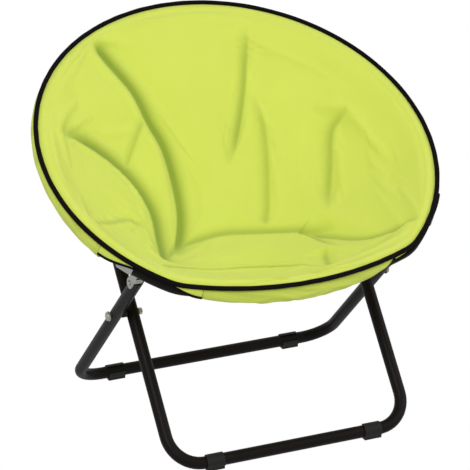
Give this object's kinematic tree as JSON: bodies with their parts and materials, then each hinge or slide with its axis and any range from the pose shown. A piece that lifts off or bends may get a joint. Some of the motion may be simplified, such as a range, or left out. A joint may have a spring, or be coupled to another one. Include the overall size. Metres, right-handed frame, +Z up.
{
  "type": "folding lounge chair",
  "caption": "Round padded folding lounge chair: a tilted hinged hoop on crossed U-shaped legs carries a quilted bowl seat with piped edge.",
  "frame": {"origin": "centre of the bounding box's base, on the floor under the seat", "axes": "+Z up, the chair faces -Y, +X to the right of a viewer who looks at its front"},
  "size_m": [0.8288, 0.704, 0.7563],
  "materials": {
    "painted_tube": "satin",
    "zinc_steel": "satin",
    "black_plastic": "matte",
    "lime_fabric": "matte",
    "black_piping": "matte"
  },
  "bodies": {
    "front_leg": {"front_leg_tube": "painted_tube", "front_leg_plug_left": "black_plastic", "front_leg_plug_right": "black_plastic", "front_foot_left": "black_plastic", "front_foot_right": "black_plastic", "pivot_bolt_left": "zinc_steel", "pivot_bolt_right": "zinc_steel", "pivot_spacer_left": "black_plastic", "pivot_spacer_right": "black_plastic", "pivot_washer_left": "zinc_steel", "pivot_washer_right": "zinc_steel", "pivot_nut_left": "zinc_steel", "pivot_nut_right": "zinc_steel"},
    "rear_leg": {"rear_leg_tube": "painted_tube", "rear_leg_plug_left": "black_plastic", "rear_leg_plug_right": "black_plastic", "rear_foot_left": "black_plastic", "rear_foot_right": "black_plastic"},
    "rear_hoop": {"rear_hoop_tube": "painted_tube", "rear_hinge_knuckle_left": "zinc_steel", "rear_hinge_knuckle_right": "zinc_steel", "rear_bracket_left": "zinc_steel", "rear_bracket_right": "zinc_steel", "rear_bracket_rivet_left": "zinc_steel", "rear_bracket_rivet_right": "zinc_steel", "back_sleeve": "lime_fabric", "side_sleeve_left": "lime_fabric", "side_sleeve_right": "lime_fabric", "rear_piping": "black_piping", "back_pad": "lime_fabric"},
    "front_hoop": {"front_hoop_tube": "painted_tube", "front_hinge_knuckle_left": "zinc_steel", "front_hinge_knuckle_right": "zinc_steel", "hinge_rivet_left": "zinc_steel", "hinge_rivet_right": "zinc_steel", "front_bracket_left": "zinc_steel", "front_bracket_right": "zinc_steel", "front_bracket_rivet_left": "zinc_steel", "front_bracket_rivet_right": "zinc_steel", "hinge_sleeve_left": "lime_fabric", "hinge_sleeve_right": "lime_fabric", "front_sleeve": "lime_fabric", "cutout_flap_left": "lime_fabric", "cutout_flap_right": "lime_fabric", "cutout_binding_left": "black_piping", "cutout_binding_right": "black_piping", "front_piping": "black_piping", "seat_pad": "lime_fabric"}
  },
  "joints": [
    {"name": "leg_cross", "type": "hinge", "parent": "front_leg", "child": "rear_leg", "pos_m": [0, -0.08031, 0.26129], "axis": [-1, 0, 0], "range_deg": [0, 61.89]},
    {"name": "hoop_swing", "type": "hinge", "parent": "front_leg", "child": "rear_hoop", "pos_m": [0, 0.27095, 0.66294], "axis": [1, 0, 0], "range_deg": [0, 28.72]},
    {"name": "hoop_hinge", "type": "hinge", "parent": "rear_hoop", "child": "front_hoop", "pos_m": [0, -0.1338, 0.47995], "axis": [-1, 0, 0], "range_deg": [0, 157.12], "deforming": ["seat_pad", "back_pad", "front_piping", "rear_piping", "hinge_sleeve_left", "hinge_sleeve_right", "side_sleeve_left", "side_sleeve_right"]}
  ],
  "couplings": [
    {"joint": "hoop_swing", "follows": "leg_cross", "ratio": 0.46386},
    {"joint": "hoop_hinge", "follows": "leg_cross", "ratio": 2.5385}
  ]
}
